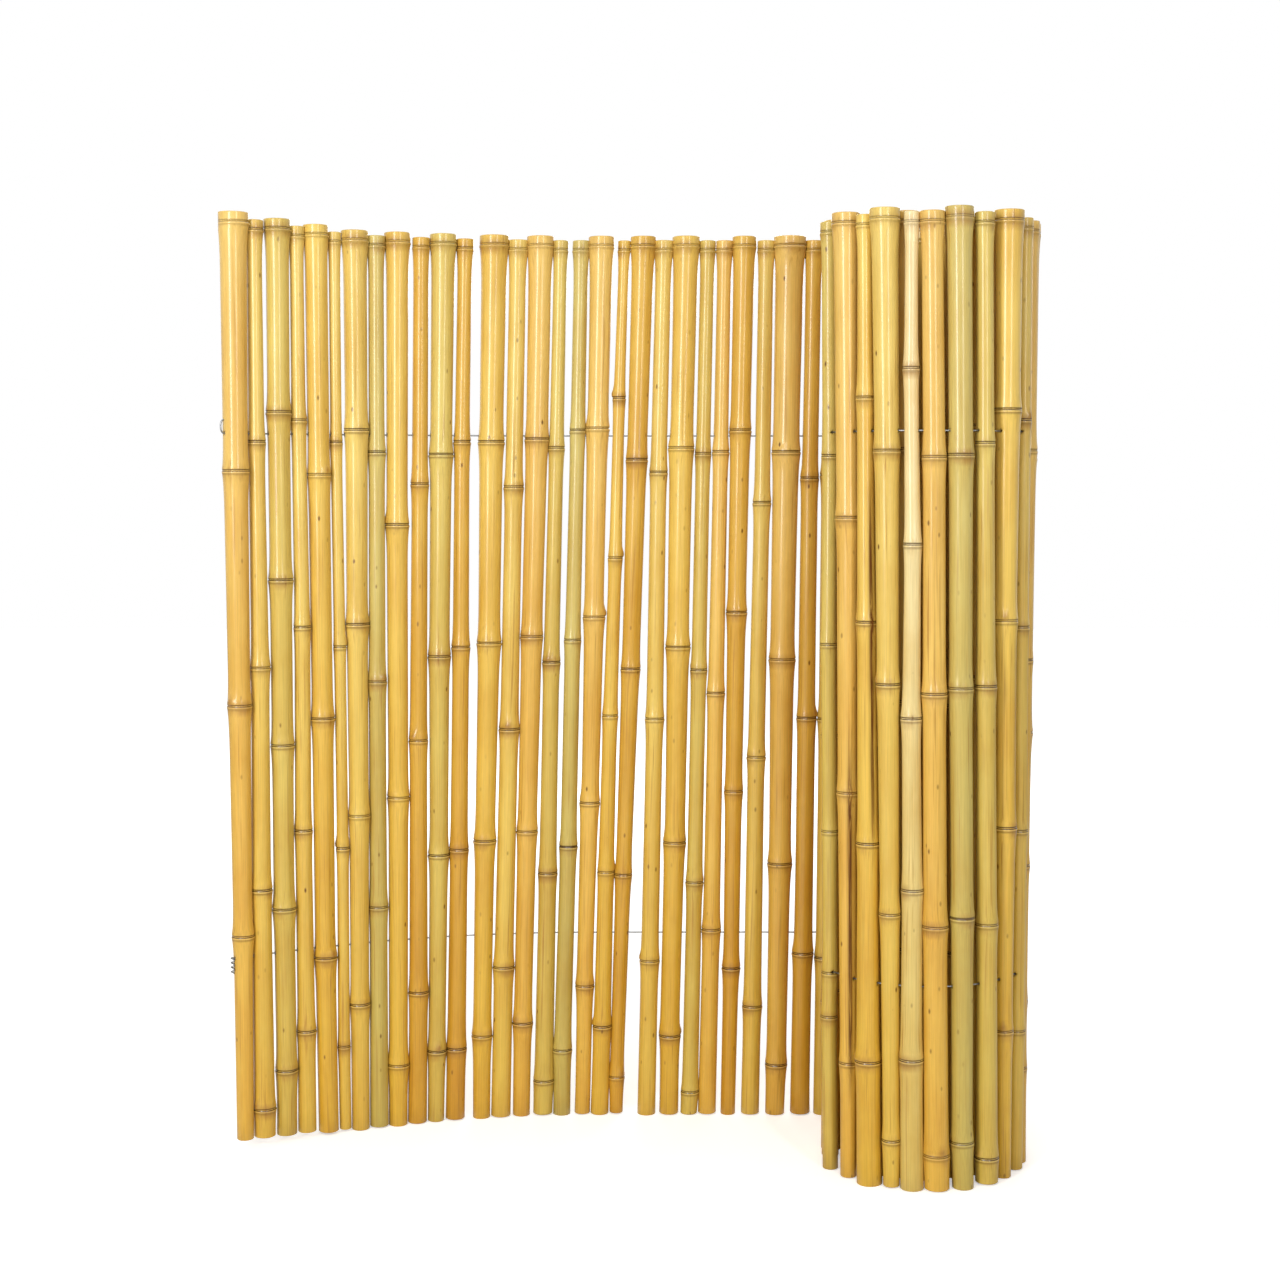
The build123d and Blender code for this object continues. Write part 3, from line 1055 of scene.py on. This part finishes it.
@dataclass
class FenceWire:
    """A galvanised wire through every culm, bent over at the free end."""

    name: str
    height: float
    culms: list[Culm]
    end: WireEnd
    radius: float = 0.8 * MM
    sides: int = 10
    tail: float = 5.0 * MM
    stub: float = 0.5 * MM
    hook_reach: float = 3.0 * MM
    hook_height: float = 6.5 * MM
    hook_turn: float = math.radians(200)
    hook_steps: int = 12
    twist_turns: float = 3.5
    twist_drop: float = 16.0 * MM
    twist_coil: float = 1.5 * MM
    twist_out: float = 2.2 * MM
    twist_top: float = 1.0 * MM
    twist_steps: int = 56

    def build(self, zinc: bpy.types.Material) -> bpy.types.Object:
        """Make the wire as a round tube.

        Args:
            zinc: Material of the wire.

        Returns:
            The new object.
        """
        first, last = self.culms[0], self.culms[-1]
        mouth = first.axis(self.height) - first.heading * first.body(self.height)
        far = last.axis(self.height) + last.heading * (last.body(self.height) + self.tail)
        through = [culm.axis(self.height) for culm in self.culms]
        bent = self._hook(mouth, first) if self.end is WireEnd.HOOK else self._twist(mouth, first)
        route = bent[::-1] + through + [far]
        mesh = self._tube(route)
        mesh.materials.append(zinc)
        made = bpy.data.objects.new(f"{self.name}_drawn", mesh)
        bpy.context.scene.collection.objects.link(made)
        return made

    def _hook(self, mouth: Vector, first: Culm) -> list[Vector]:
        """Open hook that a wire ends in, from the culm outwards.

        Args:
            mouth: Where the wire leaves the first culm.
            first: The first culm.

        Returns:
            Points of the hook.
        """
        out = -first.heading
        points = [mouth + out * self.stub]
        for step in range(1, self.hook_steps + 1):
            turn = self.hook_turn * step / self.hook_steps
            points.append(mouth + out * (math.sin(turn) * self.hook_reach + self.stub)
                          + Vector((0, 0, (1 - math.cos(turn)) * self.hook_height)))
        return points

    def _twist(self, mouth: Vector, first: Culm) -> list[Vector]:
        """Tight twist that a wire ends in, hanging beside the first culm.

        Args:
            mouth: Where the wire leaves the first culm.
            first: The first culm.

        Returns:
            Points of the twist.
        """
        out = -first.heading
        points = [mouth + out * self.stub, mouth + out * 2.5 * MM + Vector((0, 0, 1.2 * MM))]
        for step in range(self.twist_steps + 1):
            share = step / self.twist_steps
            turn = math.tau * self.twist_turns * share
            points.append(mouth + out * (self.twist_out + self.twist_coil * math.cos(turn))
                          + first.side * (self.twist_coil * math.sin(turn))
                          + Vector((0, 0, self.twist_top - self.twist_drop * share)))
        return points

    def _tube(self, route: list[Vector]) -> bpy.types.Mesh:
        """Round tube along a route.

        Args:
            route: Points of its middle line.

        Returns:
            The tube's mesh.
        """
        corners: list[Vector] = []
        faces: list[tuple[int, ...]] = []
        across = Vector((0, 0, 1))
        for index, point in enumerate(route):
            ahead = route[min(index + 1, len(route) - 1)] - route[max(index - 1, 0)]
            way = ahead.normalized()
            across = (across - way * across.dot(way)).normalized()
            third = way.cross(across)
            for number in range(self.sides):
                turn = math.tau * number / self.sides
                corners.append(point + (across * math.cos(turn) + third * math.sin(turn)) * self.radius)
        for index in range(len(route) - 1):
            for one in range(self.sides):
                two = (one + 1) % self.sides
                base = index * self.sides
                faces.append((base + one, base + two, base + self.sides + two, base + self.sides + one))
        faces.append(tuple(range(self.sides))[::-1])
        faces.append(tuple(range(len(corners) - self.sides, len(corners))))
        mesh = bpy.data.meshes.new(f"{self.name}_drawn")
        mesh.from_pydata(corners, [], faces)
        mesh.polygons.foreach_set("use_smooth", [True] * len(faces))
        mesh.set_sharp_from_angle(angle=math.radians(60))
        return mesh


@dataclass(frozen=True)
class SoftLamp:
    """A soft rectangular lamp, placed and sized in metres, with its power in watts."""

    name: str
    place: tuple[float, float, float]
    aim: tuple[float, float, float]
    size: tuple[float, float]
    power: float

    def build(self) -> None:
        """Add the lamp, turned towards its aim."""
        data = bpy.data.lights.new(self.name, "AREA")
        data.shape = "RECTANGLE"
        data.size, data.size_y = self.size
        data.energy = self.power
        lamp = bpy.data.objects.new(self.name, data)
        lamp.location = self.place
        lamp.rotation_euler = (Vector(self.aim) - Vector(self.place)).to_track_quat("-Z", "Y").to_euler()
        bpy.context.scene.collection.objects.link(lamp)


@dataclass
class Studio:
    """Pale floor, white surroundings, soft lamps and the photograph's camera."""

    focal_pixels: float = 2000.0
    camera_at: tuple[float, float, float] = (0.01025, -1.9551, 0.6659)
    camera_pitch: float = 0.0794
    sensor_mm: float = 36.0
    floor_size: float = 14.0
    white: str = "FFFFFF"
    floor: str = "F4F3F1"
    glow_near: tuple[float, float] = (0.6, 0.46)
    glow_far: tuple[float, float] = (2.0, 0.84)
    surround_light: float = 0.22

    LAMPS = (
        SoftLamp("left_strip", (-1.05, -1.85, 1.05), (0.0, 0.0, 0.55), (0.36, 1.0), 24.0),
        SoftLamp("right_strip", (0.95, -2.1, 1.15), (0.0, 0.0, 0.55), (0.22, 0.9), 11.0),
        SoftLamp("front", (-0.3, -3.0, 2.2), (0.0, 0.0, 0.45), (1.5, 1.1), 27.0),
        SoftLamp("back", (0.5, 2.7, 1.7), (0.0, 0.0, 0.45), (1.8, 1.4), 34.0),
        SoftLamp("top", (0.0, 0.2, 3.0), (0.0, 0.0, 0.5), (2.4, 1.6), 18.0),
    )

    def build(self) -> None:
        """Set up the camera, floor, world and lamps."""
        bpy.context.scene.view_settings.view_transform = "Standard"
        self._camera()
        self._floor()
        self._world()
        for lamp in self.LAMPS:
            lamp.build()

    def _camera(self) -> None:
        """Camera at the photograph's viewing angle."""
        lens = bpy.data.cameras.new("photo_camera")
        lens.sensor_width = self.sensor_mm
        lens.lens = self.focal_pixels / PHOTO_PIXELS * self.sensor_mm
        camera = bpy.data.objects.new("photo_camera", lens)
        camera.location = self.camera_at
        camera.rotation_euler = (math.pi / 2 - self.camera_pitch, 0, 0)
        bpy.context.scene.collection.objects.link(camera)
        bpy.context.scene.camera = camera

    def _floor(self) -> None:
        """Plain pale floor, which keeps the fence's shadow."""
        half = self.floor_size / 2
        mesh = bpy.data.meshes.new("floor")
        corners = [(-half, -half, 0), (half, -half, 0), (half, half, 0), (-half, half, 0)]
        mesh.from_pydata(corners, [], [(0, 1, 2, 3)])
        made = bpy.data.materials.new("matt_painted_floor")
        made.use_nodes = True
        tree = made.node_tree
        shader = tree.nodes["Principled BSDF"]
        shader.inputs["Base Color"].default_value = linear(self.floor)
        shader.inputs["Roughness"].default_value = 0.9
        shader.inputs["Specular IOR Level"].default_value = 0.1
        seen = add_node(tree, "ShaderNodeLightPath").outputs["Is Camera Ray"]
        place = add_node(tree, "ShaderNodeTexCoord").outputs["Object"]
        away = add_node(tree, "ShaderNodeVectorMath", {"operation": "LENGTH"}, {0: place})
        near, far = self.glow_near, self.glow_far
        paler = add_node(tree, "ShaderNodeMapRange", {"From Min": near[0], "From Max": far[0],
                                                      "To Min": near[1], "To Max": far[1]},
                         {"Value": away.outputs["Value"]})
        glow = add_node(tree, "ShaderNodeMath", {"operation": "MULTIPLY"},
                        {0: seen, 1: paler.outputs["Result"]})
        tree.links.new(glow.outputs["Value"], shader.inputs["Emission Strength"])
        shader.inputs["Emission Color"].default_value = linear(self.white)
        mesh.materials.append(made)
        floor = bpy.data.objects.new("floor", mesh)
        bpy.context.scene.collection.objects.link(floor)

    def _world(self) -> None:
        """White surroundings for the eye and for gloss, and a softer white for light."""
        world = bpy.data.worlds.new("studio")
        world.use_nodes = True
        bpy.context.scene.world = world
        tree = world.node_tree
        light = tree.nodes["Background"]
        light.inputs["Color"].default_value = linear(self.white)
        rays = add_node(tree, "ShaderNodeLightPath")
        through = add_node(tree, "ShaderNodeMath", {"operation": "MAXIMUM"},
                           {0: rays.outputs["Is Camera Ray"], 1: rays.outputs["Is Transmission Ray"]})
        eye = add_node(tree, "ShaderNodeMath", {"operation": "MAXIMUM"},
                       {0: through.outputs["Value"], 1: rays.outputs["Is Glossy Ray"]})
        strength = add_node(tree, "ShaderNodeMapRange", {"To Min": self.surround_light, "To Max": 1.0},
                            {"Value": eye.outputs["Value"]})
        tree.links.new(strength.outputs["Result"], light.inputs["Strength"])


def main() -> None:
    """Build the fence and the studio."""
    logging.basicConfig(level=logging.INFO, format="%(name)s: %(message)s")
    fence = Fence(BambooSkin().material(), SawnBamboo().material(), GalvanisedWire().material())
    fence.build()
    Studio().build()
    LOG.info("%d culms on %d wires", len(fence.culms), len(fence.WIRES))


if __name__ == "__main__":
    main()
